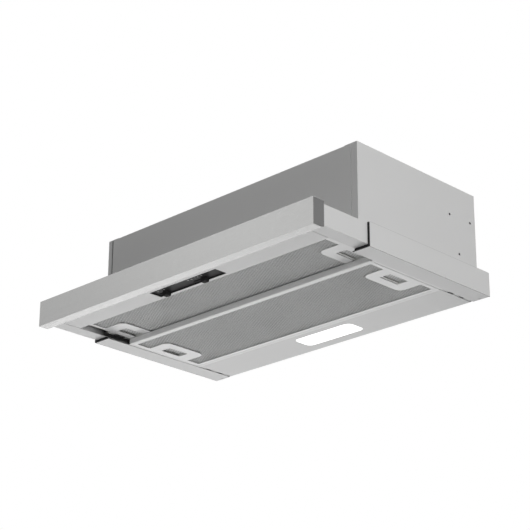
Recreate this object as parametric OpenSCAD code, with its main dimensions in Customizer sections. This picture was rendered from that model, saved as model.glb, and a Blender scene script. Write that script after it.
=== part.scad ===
// Pull-out range hood for a 60 cm wall cabinet.
// A folded steel body hangs in the cabinet. Under it a shallow drawer with a
// brushed front runs on ball slides and carries the front grease filter.
// The second filter, the lamp, the fan and the duct collar stay in the body.
// Origin: axis of the duct collar at its shoulder. X to the right, Y to the
// wall, Z up. The drawer is drawn part way out, as it is in use.

/* [Front panel] */
// Width over the two end caps
front_w = 598; // [500:1:900]
// Height of the panel's face
front_h = 42; // [40:0.5:60]
// How far the panel hangs below the rails
front_drop = 2; // [1:0.1:6]
// Depth of the panel's ends
front_d = 22.5; // [21:0.5:40]
// Depth of the lip under the panel
lip_d = 17.5; // [14:0.5:19]
// Height of the lip's turned-up rear edge
lip_turn = 14; // [9:0.5:20]
// Thickness of an end cap
cap_t = 2.5; // [1.5:0.1:2.8]
// Length of the plug that holds an end cap
plug_l = 8; // [4:0.5:20]
// Wall of the plug
plug_wall = 1.6; // [1:0.1:3]

/* [Body] */
// Thickness of all folded sheet
sheet = 0.8; // [0.5:0.05:1.2]
// Depth of the rails and the body
rail_l = 277.5; // [270:0.5:330]
// Height of the rails
rail_h = 38.4; // [37:0.1:60]
// Width of the rail's foot, seen from below
foot_w = 32; // [31:0.1:34]
// Width of the seat that meets the cabinet
seat_w = 22.4; // [22:0.1:26]
// Height of the body above the seat
body_h = 136; // [130:1:220]
// Width of the body's folded edges
fold_w = 12; // [8:0.5:20]
// Setback of the body's front edges from the rails' ends
body_setback = 1.3; // [1.1:0.1:3]
// Height of the lip that joins rail and body side
weld_lip = 8; // [4:0.5:12]
// Clearance between neighbouring sheets
sheet_fit = 0.3; // [0.2:0.05:0.5]

/* [Side holes] */
// Radius of the fixing holes in the body's sides
fix_r = 2; // [1.5:0.1:3]
// Spacing of the two upper holes
fix_pitch = 50.3; // [30:0.1:60]
// Height of the upper holes above the seat
fix_upper_z = 86; // [60:0.5:110]
// Height of the lower hole above the seat
fix_lower_z = 25.2; // [15:0.5:50]
// Middle of the upper holes, from the rear edge
fix_upper_back = 37.5; // [30:0.5:60]
// Lower hole, from the rear edge
fix_lower_back = 42.4; // [20:0.5:60]

/* [Drawer] */
// Distance that the drawer stands out
drawer_out = 96; // [5:1:150]
// Gap left in front of the rails when shut
shut_gap = 2.5; // [1.5:0.1:4]
// Room behind the side bars, for the drawer's switch
bar_room = 22.5; // [19:0.5:60]
// Gap between a side bar and its rail, at the side
bar_side_gap = 2.1; // [1:0.1:4]
// Height of the drawer above the rail's underside
bar_rise = 4; // [3.5:0.1:8]
// Gap under the rail's top
bar_top_gap = 1; // [0.5:0.1:1.5]
// Width of a side bar, seen from below
bar_foot_w = 24.7; // [23.5:0.1:25]
// Depth of the front bar
front_bar_d = 44.5; // [43.8:0.1:45.5]
// Length of the cover over the front filter
cover_l = 158; // [100:1:200]

/* [Filters] */
// Gap between a filter and the foot of a rail
filter_side_gap = 4.4; // [4:0.1:5]
// Thickness of a filter
filter_t = 9; // [8:0.1:9]
// Width of the frame in front of and behind the mesh
filter_border = 10; // [6:0.5:20]
// Width of the frame beside the mesh
filter_side_border = 8; // [6:0.5:20]
// Gap between the two filters' levels
filter_gap = 1; // [0.5:0.1:2]
// Front edge of the rear filter, from the rails' ends
filter_y = 42; // [42:0.5:60]

/* [Latches] */
// Length of a latch plate
latch_l = 85.5; // [76:0.5:110]
// Width of a latch plate with its border
latch_w = 49.3; // [49:0.1:60]
// Radius of the latch plate's inner corners
latch_r = 12; // [3:0.5:12]
// Thickness of the latch plate
latch_t = 1; // [0.8:0.1:1.2]
// Length of the finger window
window_l = 40; // [30:1:42]
// Width of the finger window
window_w = 20.5; // [16:0.5:21]
// From the filter's edge to the window
window_edge = 12.6; // [12:0.1:13.5]
// Thickness of the sliding catch
catch_t = 2; // [1.5:0.1:2]
// Travel of the catch
catch_travel = 3.5; // [3:0.1:4]
// Width of a catch's tongue
tongue_w = 12; // [6:0.5:16]
// Spacing of a catch's two tongues
tongue_pitch = 36; // [24:1:40]

/* [Lamp] */
// Depth of the lamp's panel
panel_d = 74; // [72:0.5:90]
// Width of the lamp's lens
lamp_w = 121; // [60:1:200]
// Depth of the lens
lamp_d = 40; // [24:1:44]
// Corner radius of the lens
lamp_r = 10; // [3:0.5:11]
// Offset of the lamp from the middle
lamp_x = 4.5; // [-60:0.5:60]
// Middle of the lamp, from the rear edge
lamp_back = 41.5; // [38:0.5:46]

/* [Controls] */
// Width of the control slot
slot_w = 144; // [143:1:200]
// Depth of the control slot
slot_d = 24; // [20:0.5:24.5]
// Offset of the slot from the middle
slot_x = -1; // [-60:1:60]
// From the lip to the slot
slot_y = 16; // [14:0.5:16]
// How deep the fascia lies in the slot
fascia_sink = 2.5; // [1.5:0.1:4]
// Width of a slider knob
knob_w = 10; // [6:0.5:12]
// Depth of a slider knob
knob_d = 8.5; // [5:0.5:11]
// From a knob to the slot's rear edge
knob_back = 2.5; // [2:0.5:6]
// How far a knob stands below the drawer
knob_out = 4.7; // [1:0.1:5]
// Place of the light slider when on, from the slot's middle
light_x = -51.5; // [-52:0.5:-20]
// Travel of the light slider
light_travel = 13.8; // [6:0.1:14]
// Place of the speed slider at full speed, from the slot's middle
speed_x = 32; // [16:0.5:60]
// Step between two speeds
speed_pitch = 7.1; // [5:0.1:10]

/* [Slides] */
// Height of the ball slide
slide_h = 27; // [25:0.5:28]
// Thickness of the ball slide
slide_t = 12.7; // [12.2:0.1:13]
// Length of a side bar behind its slide
slide_room = 7; // [3:0.5:20]
// Front of the slide, from the rails' ends
slide_y = 13; // [12.5:0.5:20]
// Wall of the slide members
slide_wall = 1.2; // [1:0.1:1.4]
// Diameter of a slide's balls
ball_d = 4.4; // [4:0.1:4.8]
// Length of the plastic guide in a rail's mouth
mouth_l = 12; // [6:0.5:12]
// Length of the ball cage
cage_l = 76; // [60:1:80]
// Balls in each row
balls = 5; // [3:1:5]
// Spacing of the balls
ball_pitch = 15; // [10:0.5:16]

/* [Fan] */
// Diameter of the wheel
wheel_d = 92; // [70:1:94]
// Width of the wheel
wheel_w = 90; // [60:1:92]
// Depth of the blades
blade_d = 9; // [6:0.5:12]
// Number of blades
blades = 30; // [20:1:36]
// Gap between the wheel and the scroll's tongue
scroll_gap = 4; // [3:0.5:6]
// Growth of the scroll over a full turn
scroll_grow = 31; // [20:1:32]
// Wall of the scroll
scroll_wall = 2; // [1.5:0.1:2.5]
// Radius of the shaft
shaft_r = 3; // [2.5:0.1:4]
// Diameter of the motor
motor_d = 62; // [50:1:66]
// Length of the motor
motor_l = 48; // [30:1:60]

/* [Duct collar] */
// Outer diameter of the collar
duct_d = 120; // [120:1:150]
// Wall of the collar
duct_wall = 2; // [1.5:0.1:3]
// Height of the collar above its shoulder
duct_h = 45; // [30:1:80]
// Width of the collar's base round the tube
duct_base_w = 14; // [10:1:20]
// Thickness of the collar's base
duct_base_t = 2.5; // [2:0.1:4]
// Axis of the collar, from the rails' ends
duct_y = 160.5; // [150:0.5:165]
// Radius of the flaps' hinge pin
pin_r = 1.5; // [1:0.1:2]
// Running clearance in a flap's knuckle
pin_fit = 0.08; // [0.03:0.01:0.1]
// Thickness of a flap
flap_t = 1.5; // [1:0.1:2]

/* [Hidden] */
$fn = 48;
// Overrun of every cut past the face that it opens
cut = 1;

// Body
half_w = front_w / 2;
body_x = half_w - seat_w;
foot_x = half_w - foot_w;
body_top = rail_h + body_h;
inner_y = rail_l - sheet;
edge_step = 2 * sheet;
screw_r = 1.6;
screw_fit = 0.2;
head_r = 3.4;
head_t = 1.8;
screw_l = 8;
// Places of the top screws along the body, as shares of its depth
top_screw_shares = [0.12, 0.5, 0.88];
// Lower edge of the body's inner wall, above the drawer's foot
wall_gap = 1.2;

// Drawer, in a frame whose y is 0 at the back of the end caps
bar_l = rail_l - bar_room;
bar_x = half_w - sheet - bar_side_gap;
bar_in_x = bar_x - bar_foot_w;
bar_top = rail_h - sheet - bar_top_gap;
wall_low = bar_rise + sheet + wall_gap;
bar_bottom_in = bar_rise + sheet;
lip_back = lip_d - front_d;
cap_step = 2.5;
bar_back = lip_back + front_bar_d;
front_bar_gap = 0.8;
front_bar_x = bar_in_x - front_bar_gap;
cover_gap = 1.3;
cover_x = body_x - sheet - cover_gap;
cover_turn = 6;
bar_flange = 10;
bar_slot = 2.4;
bar_start = lip_back + 0.5 * sheet;
drawer_screw_z = bar_bottom_in + head_r + sheet;
// Places of the drawer's screws along its width, as shares of half of it
drawer_screw_shares = [-0.85, -0.45, 0.45, 0.85];

// Slides
slide_l = bar_l - slide_y - slide_room;
slide_space = bar_x - sheet - body_x;
bracket_d = slide_space - slide_t;
slide_z = (bar_bottom_in + bar_top - sheet) / 2;
slide_x = body_x + bracket_d;
slide_arm = slide_t - slide_wall - 0.1 * slide_wall;
ball_x = slide_x + 0.58 * slide_t;
groove_fit = 0.15;
groove_bite = 0.35;
ball_gap = ball_d - 2 * (groove_bite - groove_fit);
inner_arm_z = slide_h / 2 - slide_wall - ball_gap;
ball_z = inner_arm_z + ball_gap / 2;
cage_gap = 0.4;
cage_t = 0.8;
cage_x = slide_x + slide_wall + cage_gap;
cage_reach = 0.22 * slide_t;
inner_slide_x = cage_x + cage_t + 1.5 * cage_gap;
cage_y = slide_y + slide_l / 2 - drawer_out / 2;
mouth_gap = 0.5;
mouth_fit = 0.3;

// Filters and latches
panel_gap = 1;
panel_back = 0.7;
panel_end = inner_y - panel_back;
panel_y = panel_end - panel_d;
filter_x = foot_x - filter_side_gap;
filter_d = panel_y - panel_gap - filter_y;
front_filter_z = filter_t + filter_gap;
front_filter_y = filter_y - 1;
filter_rim = 8;
filter_round = 1.5;
tab_l = 5.5;
tab_w = 40;
tab_t = 1;
// Places of the filter's rear tabs, as shares of its half width
tab_shares = [-0.7, 0, 0.7];
latch_y = filter_d / 2;
latch_shift = 1.25;
latch_in_x = filter_x - latch_w;
window_out_x = filter_x - window_edge;
window_in_x = window_out_x - window_w;
catch_fit = 0.3;
catch_z = latch_t + catch_fit;
catch_l = 60;
catch_ledge = 3;
catch_ring = 8.5;
catch_in_x = window_in_x + catch_ledge;
catch_out_x = window_out_x + catch_travel + catch_fit;
catch_end_x = filter_x - sheet - 2 * catch_fit;
catch_start_x = catch_in_x - catch_ring;
guide_t = 1.5;
bow_t = 1;
bow_y = 15;
stop_x = latch_in_x + catch_fit + guide_t / 2;
bow_r = catch_start_x - stop_x - guide_t - catch_travel - catch_fit;
rear_bite = 2.5;
front_bite = 3.1;
rear_tip_x = foot_x + rear_bite;
front_tip_x = bar_in_x + front_bite;
lip_rise = front_filter_z + catch_z - catch_fit;
mesh_floor = catch_z + catch_t + catch_fit;

// Lamp
lamp_y = rail_l - lamp_back;
panel_front_h = filter_t - tab_t - 0.7 * sheet;
panel_side_h = 12;
panel_tab_l = 14;
panel_tab_shares = [0.15, 0.5, 0.85];
panel_tab_end = bar_in_x - 0.5 * sheet;
lens_t = 1.6;
lens_fit = 0.3;
lens_rim = 3;
lamp_box_t = 1.5;
lamp_box_h = 20;
board_z = 12;
board_t = 1.2;
led_w = 3.5;
led_t = 0.8;
leds = 12;
driver_w = 62;
driver_d = 30;
driver_h = 18;
driver_gap = 18;

// Controls
fascia_t = 2.5;
fascia_rim = 3;
fascia_z = bar_rise + fascia_sink;
slot_y0 = lip_back + slot_y;
knob_y = slot_y0 + slot_d - knob_back - knob_d;
speed_steps = 3;
knob_gap = 0.3;
stem_w = 4;
stem_d = 2;
stem_l = 5.5;
stem_fit = 0.6;
control_h = 22;
control_side = 8;

// Drawer switch
switch_w = 12;
switch_h = 16;
switch_gap = 0.3;
plunger_r = 1.2;
plunger_fit = 0.1;
plunger_travel = 2;
plunger_out = 5;
plunger_in = 4;
switch_x = bar_x - sheet - switch_w;
switch_y = bar_l - shut_gap + switch_gap + plunger_out;
striker_h = 18;

// Fan
scroll_half = wheel_w / 2 + 1.5 * scroll_gap;
scroll_r = wheel_d / 2 + scroll_gap;
cut_a = 60;
full_a = 360;
scroll_steps = 36;
scroll_reach = scroll_r + scroll_grow * (full_a - cut_a) / full_a;
outlet_front = scroll_r * cos(cut_a);
fan_y = duct_y - (outlet_front + scroll_reach) / 2;
fan_z = rail_h + scroll_grow * 0.6 + scroll_r + 2 * scroll_wall;
outlet_z = body_top - sheet;
inlet_r = wheel_d / 2 - blade_d;
rim_w = 5;
rim_t = 3;
lug_r = 4;
lug_hole_r = 1.5;
// Angles of the lugs that join the scroll's halves
lug_angles = [100, 160, 220, 320];
wheel_disc_t = 2;
wheel_ring_t = 2;
hub_r = 8;
hub_l = 24;
blade_t = 1;
blade_lead = 16;
blade_steps = 4;
shaft_fit = 0.06;
shaft_end = 4;
bracket_t = 3;
bracket_arm = 10;
bracket_in = 14;
bracket_out = 20;
motor_bell = 10;
motor_neck_r = 9;
inlet_lip = 3;
bracket_gap = inlet_lip + sheet_fit;
motor_x = -(scroll_half + scroll_wall + bracket_gap + bracket_t);

// Connection box and cable inlet
box_w = 86;
box_d = 56;
box_h = 36;
box_gap = 14;
box_lid = 2.5;
inlet_hole_r = 7;
cable_r = 4;
grommet_lip = 2.5;
grommet_t = 2;
inlet_back = 26;
box_side = 164.6;
box_x = body_x - box_side;

// Duct collar
duct_r = duct_d / 2;
duct_in_r = duct_r - duct_wall;
shoulder_z = body_top + duct_base_t;
pin_z = shoulder_z + 10;
seat_w_in = 3;
seat_t = 1.5;
flap_gap = 1;
flap_r = duct_in_r - flap_gap;
flap_start = 4;
knuckle_r = 3;
knuckle_l = 30;
knuckle_gap = 2;
boss_r = 4;
boss_l = 5;
pin_inset = 0.5;

// Every node, for building one at a time

// ---- helpers

// Box between two opposite corners
module block(a, b) {
    translate(a)
        cube(b - a);
}

// Outline in X and Z, drawn out along Y
module along_y(y0, y1) {
    translate([0, y1, 0])
        rotate([90, 0, 0])
            linear_extrude(y1 - y0)
                children();
}

// Outline in Y and Z, drawn out along X
module along_x(x0, x1) {
    translate([x0, 0, 0])
        rotate([90, 0, 90])
            linear_extrude(x1 - x0)
                children();
}

// Outline in X and Y, drawn out along Z
module along_z(z0, z1) {
    translate([0, 0, z0])
        linear_extrude(z1 - z0)
            children();
}

// Rectangle with round corners, centred
module rounded(w, d, r) {
    square([w - 2 * r, d], center = true);
    square([w, d - 2 * r], center = true);
    for (sx = [-1, 1], sy = [-1, 1])
        translate([sx * (w / 2 - r), sy * (d / 2 - r)])
            circle(r);
}

// Outline from a to b, h high, with its two lower corners rounded by r
module soft_foot(a, b, h, r) {
    translate([a, r])
        square([b - a, h - r]);
    translate([a + r, 0])
        square([b - a - 2 * r, 2 * r]);
    for (x = [a + r, b - r])
        translate([x, r])
            circle(r);
}

// Round bar or hole along X
module rod_x(x0, x1, r) {
    translate([x0, 0, 0])
        rotate([0, 90, 0])
            cylinder(r = r, h = x1 - x0);
}

// Round bar or hole along Y
module rod_y(y0, y1, r) {
    translate([0, y1, 0])
        rotate([90, 0, 0])
            cylinder(r = r, h = y1 - y0);
}

// The same shape on the left side
module left() {
    mirror([1, 0, 0])
        children();
}

// The shape and its mirror image
module both() {
    children();
    left()
        children();
}

// From the frame at the rails' front ends to the part's origin
module hung() {
    translate([0, -duct_y, -shoulder_z])
        children();
}

// Moves a drawer piece out to where the drawer stands
module pulled() {
    hung()
        translate([0, -drawer_out, 0])
            children();
}

// ---- body

// Side of the body: wall, folded edges and the lower wall that carries the slide
module body_side() {
    difference() {
        union() {
            block([body_x - sheet, body_setback, wall_low], [body_x, inner_y, body_top]);
            block([body_x - 2 * fold_w, body_setback, rail_h], [body_x, body_setback + sheet, body_top]);
            block([body_x - fold_w, inner_y - sheet, rail_h], [body_x, inner_y, body_top - edge_step]);
            block([body_x - fold_w, body_setback + 3 * sheet, body_top - edge_step],
                [body_x, inner_y, body_top - sheet]);
        }
        for (s = [-1, 1])
            translate([0, rail_l - fix_upper_back + s * fix_pitch / 2, rail_h + fix_upper_z])
                rod_x(body_x - fold_w, body_x + cut, fix_r);
        translate([0, rail_l - fix_lower_back, rail_h + fix_lower_z])
            rod_x(body_x - fold_w, body_x + cut, fix_r);
        for (s = top_screw_shares)
            translate([body_x - fold_w / 2, s * rail_l, body_top - screw_l])
                cylinder(r = screw_r + screw_fit, h = screw_l + cut);
    }
}

module body_side_right() {
    color("#c4c4c2")
        hung()
            body_side();
}

module body_side_left() {
    color("#c4c4c2")
        hung()
            left()
                body_side();
}

// Front sheet, in front of the sides' folded edges
module body_front_panel() {
    x = body_x - fold_w;
    fold_x = x - fold_w - sheet_fit;
    y = body_setback - sheet_fit - sheet;
    z = body_top - edge_step;
    color("#c2c2c0")
        hung() {
            block([-x, y, rail_h], [x, y + sheet, z]);
            block([-fold_x, y, rail_h], [fold_x, y + fold_w, rail_h + sheet]);
            block([-fold_x, y, z - sheet], [fold_x, y + fold_w, z]);
        }
}

// Rear sheet, with its wide lower part between the rails
module body_rear_panel() {
    x = half_w - sheet - sheet_fit;
    z0 = sheet + sheet_fit;
    z1 = rail_h - sheet - sheet_fit;
    color("#b4b4b2")
        hung()
            along_y(inner_y, rail_l)
                polygon([[-x, z0], [x, z0], [x, z1], [body_x, z1], [body_x, body_top],
                    [-body_x, body_top], [-body_x, z1], [-x, z1]]);
}

// Top plate with the air outlet, the cable hole and two pressed ribs
module body_top_plate() {
    x = body_x - sheet - sheet_fit;
    y0 = body_setback + sheet + sheet_fit;
    rib_r = 2;
    rib_gap = 7.1;
    rib_x = box_x + box_w / 2 + inlet_hole_r + grommet_lip + rib_gap;
    color("#b8b8b6")
        hung()
            difference() {
                union() {
                    block([-x, y0, body_top - sheet], [x, inner_y - sheet_fit, body_top]);
                    for (s = [-1, 1])
                        translate([s * rib_x, 0, body_top])
                            intersection() {
                                rod_y(fold_w + rib_r, rail_l - fold_w - rib_r, rib_r);
                                block([-rib_r, 0, 0], [rib_r, rail_l, rib_r]);
                            }
                }
                translate([0, duct_y, body_top - fold_w])
                    cylinder(r = duct_in_r, h = fold_w + cut);
                translate([box_x + box_w / 2, rail_l - inlet_back, body_top - fold_w])
                    cylinder(r = inlet_hole_r, h = fold_w + cut);
                for (s = top_screw_shares, m = [-1, 1])
                    translate([m * (body_x - fold_w / 2), s * rail_l, body_top - screw_l])
                        cylinder(r = screw_r + screw_fit, h = screw_l + cut);
                collar_screw_places()
                    translate([0, 0, body_top - screw_l])
                        cylinder(r = screw_r + screw_fit, h = screw_l + cut);
            }
}

// Screw standing on the plane z = 0, with its recess
module screw() {
    translate([0, 0, -screw_l])
        cylinder(r = screw_r, h = screw_l + head_t / 2);
    difference() {
        cylinder(r = head_r, h = head_t);
        translate([0, 0, head_t / 2])
            cylinder(r = screw_r, h = head_t);
    }
}

// Screws that hold the top plate to the sides and the collar to the plate
module body_screws() {
    color("#d8d8d4")
        hung() {
            for (s = top_screw_shares, m = [-1, 1])
                translate([m * (body_x - fold_w / 2), s * rail_l, body_top])
                    screw();
            collar_screw_places()
                translate([0, 0, shoulder_z])
                    screw();
        }
}

// Rail: foot, outer wall, seat and the lip that is welded to the body side
module rail() {
    mark_r = 1.5;
    mark_x = half_w - 17;
    mark_back = 3.5;
    difference() {
        along_y(0, rail_l)
            polygon([[foot_x, 0], [half_w, 0], [half_w, rail_h], [body_x + sheet, rail_h],
                [body_x + sheet, rail_h + weld_lip], [body_x, rail_h + weld_lip], [body_x, rail_h - sheet],
                [half_w - sheet, rail_h - sheet], [half_w - sheet, sheet], [foot_x, sheet]]);
        translate([mark_x, rail_l - mark_back, -cut])
            cylinder(r = mark_r, h = sheet + 2 * cut);
    }
}

module rail_right() {
    color("#c6c6c4")
        hung()
            rail();
}

module rail_left() {
    color("#c6c6c4")
        hung()
            left()
                rail();
}

// Plastic guides in the rails' mouths, a little in front of the rails' ends
module rail_guides() {
    x0 = bar_in_x;
    x1 = half_w - sheet;
    x = bar_x + mouth_fit;
    z = bar_rise - mouth_fit;
    color("#1d1e20")
        hung()
            both()
                along_y(mouth_gap - shut_gap, mouth_l)
                    polygon([[x0, sheet], [x1, sheet], [x1, rail_h - sheet], [x, rail_h - sheet], [x, z], [x0, z]]);
}

// ---- lamp

// Sheet behind the rear filter, with the lamp's opening
module lamp_panel() {
    x = filter_x;
    color("#bdbdbb")
        hung()
            difference() {
                union() {
                    block([-x, panel_y, 0], [x, panel_end, sheet]);
                    block([-x, panel_y, 0], [x, panel_y + sheet, panel_front_h]);
                    block([-x, panel_end - sheet, 0], [x, panel_end, panel_side_h]);
                    for (s = [-1, 1])
                        block([min(s * x, s * (x - sheet)), panel_y + 2 * sheet, 0],
                            [max(s * x, s * (x - sheet)), panel_end, panel_side_h]);
                    for (t = panel_tab_shares)
                        translate([0, panel_y + t * (panel_end - panel_y) - panel_tab_l / 2, 0])
                            both()
                                block([x - sheet, 0, sheet], [panel_tab_end, panel_tab_l, 2 * sheet]);
                }
                translate([lamp_x, lamp_y, 0])
                    along_z(-cut, sheet + cut)
                        rounded(lamp_w, lamp_d, lamp_r);
            }
}

// Diffusing lens, with a rim that rests on the panel
module lamp_lens() {
    color("#ffffff")
        hung()
            translate([lamp_x, lamp_y, 0]) {
                along_z(sheet / 4, sheet + lens_t)
                    rounded(lamp_w - 2 * lens_fit, lamp_d - 2 * lens_fit, lamp_r - lens_fit);
                along_z(sheet, sheet + lens_t)
                    rounded(lamp_w + 2 * lens_rim, lamp_d + 2 * lens_rim, lamp_r + lens_rim);
            }
}

// Housing over the lens
module lamp_housing() {
    w = lamp_w + 2 * lens_rim;
    d = lamp_d + 2 * lens_rim;
    z = sheet + lens_t;
    ledge = 3;
    color("#dcdcda")
        hung()
            translate([lamp_x, lamp_y, 0])
                difference() {
                    along_z(z, z + lamp_box_h)
                        rounded(w, d, lamp_r);
                    along_z(z - cut, board_z)
                        rounded(w - 2 * (lamp_box_t + ledge), d - 2 * (lamp_box_t + ledge), lamp_r / 2);
                    along_z(board_z, z + lamp_box_h - lamp_box_t)
                        rounded(w - 2 * lamp_box_t, d - 2 * lamp_box_t, lamp_r - lamp_box_t);
                }
}

// Board with its row of light-emitting diodes
module led_board() {
    w = lamp_w + 2 * lens_rim - 2 * lamp_box_t - 2 * lens_fit;
    d = lamp_d + 2 * lens_rim - 2 * lamp_box_t - 2 * lens_fit;
    pitch = (lamp_w - lamp_d / 2) / (leds - 1);
    color("#e8e6d8")
        hung()
            translate([lamp_x, lamp_y, board_z]) {
                along_z(0, board_t)
                    rounded(w, d, lamp_r - lamp_box_t);
                for (i = [0 : leds - 1])
                    translate([(i - (leds - 1) / 2) * pitch, 0, -led_t])
                        along_z(0, led_t)
                            square(led_w, center = true);
            }
}

// Driver of the lamp, on the panel beside the lamp's housing
module led_driver() {
    x = lamp_x + lamp_w / 2 + lens_rim + driver_gap;
    ear = 6;
    color("#e4e4e0")
        hung()
            translate([x, lamp_y - driver_d / 2, sheet]) {
                block([0, 0, 0], [driver_w, driver_d, driver_h]);
                difference() {
                    block([-ear, 0, 0], [driver_w + ear, driver_d, lamp_box_t]);
                    for (e = [-ear / 2, driver_w + ear / 2])
                        translate([e, driver_d / 2, -cut])
                            cylinder(r = screw_r, h = lamp_box_t + 2 * cut);
                }
            }
}

// ---- fan

// Radius of the scroll at an angle, with the thickness added
function scroll_at(a, extra) = scroll_r + scroll_grow * (a - cut_a) / full_a + extra;

// Points of the scroll from one angle to another, in Y and Z
function scroll_line(a0, a1, extra) = [
    for (i = [0 : scroll_steps])
        let (a = a0 + (a1 - a0) * i / scroll_steps, r = scroll_at(a, extra))
            [fan_y + r * cos(a), fan_z + r * sin(a)]];

// Closed outline of the scroll and its outlet, grown by a thickness
function scroll_outline(extra) =
    let (a0 = acos((outlet_front - extra) / (scroll_r + extra)))
        concat(scroll_line(a0, full_a, extra),
            [[fan_y + scroll_reach + extra, outlet_z], [fan_y + outlet_front - extra, outlet_z]]);

// Half of the fan's housing, with its inlet and joining rim
module fan_housing() {
    foot = 8;
    difference() {
        union() {
            along_x(0, scroll_half + scroll_wall)
                polygon(scroll_outline(scroll_wall));
            along_x(0, rim_t)
                intersection() {
                    polygon(scroll_outline(scroll_wall + rim_w));
                    translate([0, rail_h + 2 * scroll_wall])
                        square([rail_l, outlet_z - rail_h]);
                }
            for (a = lug_angles)
                translate([0, fan_y, fan_z])
                    rotate([a, 0, 0])
                        translate([0, scroll_at(a, scroll_wall + rim_w / 2), 0])
                            rod_x(0, 2 * rim_t, lug_r / 2 + lug_hole_r / 2);
            block([rim_t / 2, fan_y + outlet_front - scroll_wall - foot, outlet_z - scroll_wall],
                [scroll_half, fan_y + outlet_front - scroll_wall / 2, outlet_z]);
            block([rim_t / 2, fan_y + scroll_reach + scroll_wall / 2, outlet_z - scroll_wall],
                [scroll_half, fan_y + scroll_reach + scroll_wall + foot, outlet_z]);
            translate([scroll_half + scroll_wall, fan_y, fan_z])
                rotate([0, 90, 0])
                    rotate_extrude()
                        translate([inlet_r + inlet_lip / 3, 0])
                            intersection() {
                                circle(inlet_lip);
                                translate([-inlet_lip, 0])
                                    square([2 * inlet_lip, inlet_lip]);
                            }
        }
        along_x(-cut, scroll_half)
            polygon(scroll_outline(0));
        translate([0, fan_y + outlet_front, outlet_z - cut])
            cube([scroll_half, scroll_reach - outlet_front, 2 * cut]);
        translate([0, fan_y, fan_z])
            rod_x(scroll_half - cut, scroll_half + scroll_wall + inlet_lip + cut, inlet_r);
        for (a = lug_angles)
            translate([0, fan_y, fan_z])
                rotate([a, 0, 0])
                    translate([0, scroll_at(a, scroll_wall + rim_w / 2), 0])
                        rod_x(-cut, 2 * rim_t + cut, lug_hole_r);
    }
}

module fan_housing_right() {
    color("#3c3e42")
        hung()
            fan_housing();
}

module fan_housing_left() {
    color("#3c3e42")
        hung()
            left()
                fan_housing();
}

// Outline of one forward-curved blade
function blade_side(sign) = [
    for (i = [0 : blade_steps])
        let (s = i / blade_steps, r = inlet_r + (blade_d - blade_t / 2) * s,
            a = blade_lead * s * s + sign * blade_t / r * 28.6)
            [r * cos(a), r * sin(a)]];
function reversed(v) = [for (i = [len(v) - 1 : -1 : 0]) v[i]];

// Wheel that draws air in from both ends
module fan_wheel() {
    color("#2c2e30")
        hung()
            translate([0, fan_y, fan_z])
                difference() {
                    union() {
                        for (i = [0 : blades - 1])
                            rotate([i * full_a / blades, 0, 0])
                                along_x(-(wheel_w - wheel_ring_t) / 2, (wheel_w - wheel_ring_t) / 2)
                                    polygon(concat(blade_side(1), reversed(blade_side(-1))));
                        rod_x(-wheel_disc_t / 2, wheel_disc_t / 2, wheel_d / 2 - blade_t);
                        for (x = [-wheel_w / 2, wheel_w / 2 - wheel_ring_t])
                            difference() {
                                rod_x(x, x + wheel_ring_t, wheel_d / 2);
                                rod_x(x - cut, x + wheel_ring_t + cut, inlet_r + blade_t);
                            }
                        rod_x(-hub_l / 2, hub_l / 2, hub_r);
                    }
                    rod_x(-hub_l, hub_l, shaft_r);
                }
}

// Shaft of the motor, with the wheel on its end
module fan_shaft() {
    color("#d0d0d0")
        hung()
            translate([0, fan_y, fan_z])
                rod_x(motor_x - motor_l - shaft_end, hub_l / 2 + shaft_end, shaft_r);
}

// Motor with its end bells and cooling slots
module fan_motor() {
    slots = 8;
    slot_deep = 3;
    slot_r = 2;
    neck = 3;
    color("#8c9096")
        hung()
            translate([motor_x, fan_y, fan_z])
                difference() {
                    union() {
                        rod_x(-motor_l + motor_bell, -motor_bell, motor_d / 2);
                        rod_x(-motor_l, 0, motor_d / 2 - slot_deep);
                        rod_x(-motor_l, neck, motor_neck_r);
                    }
                    for (i = [0 : slots - 1])
                        rotate([i * full_a / slots, 0, 0])
                            translate([0, motor_d / 2 - slot_deep, 0])
                                rod_x(-motor_l - cut, -motor_l + motor_bell / 2, slot_r);
                    rod_x(-motor_l - cut, neck + cut, shaft_r + shaft_fit);
                }
}

// Ring and three arms, on feet, that hold the motor over the left inlet
module motor_bracket() {
    arms = 3;
    foot = inlet_r + 2 * inlet_lip + sheet_fit;
    color("#b9bcc0")
        hung()
            translate([motor_x, fan_y, fan_z])
                difference() {
                    union() {
                        rod_x(0, bracket_t, bracket_in + bracket_out / 2);
                        for (i = [0 : arms - 1])
                            rotate([i * full_a / arms + cut_a / 2, 0, 0]) {
                                block([0, bracket_in, -bracket_arm / 2],
                                    [bracket_t, foot + bracket_arm, bracket_arm / 2]);
                                block([bracket_t, foot, -bracket_arm / 2],
                                    [bracket_t + bracket_gap, foot + bracket_arm, bracket_arm / 2]);
                            }
                    }
                    rod_x(-cut, bracket_t + cut, motor_neck_r + shaft_fit);
                }
}

// ---- duct collar

// Places of the screws round the collar
module collar_screw_places() {
    screws = 4;
    translate([0, duct_y, 0])
        for (a = [0 : screws - 1])
            rotate([0, 0, full_a * (a + 1 / 2) / screws])
                translate([duct_r + duct_base_w / 2, 0, 0])
                    children();
}

// Base ring, screwed to the top plate
module collar_base() {
    color("#2f3033")
        hung()
            difference() {
                translate([0, duct_y, body_top])
                    cylinder(r = duct_r + duct_base_w, h = duct_base_t);
                translate([0, duct_y, body_top - cut])
                    cylinder(r = duct_in_r, h = duct_base_t + 2 * cut);
                collar_screw_places()
                    translate([0, 0, body_top - cut])
                        cylinder(r = screw_r + screw_fit, h = duct_base_t + 2 * cut);
            }
}

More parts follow.
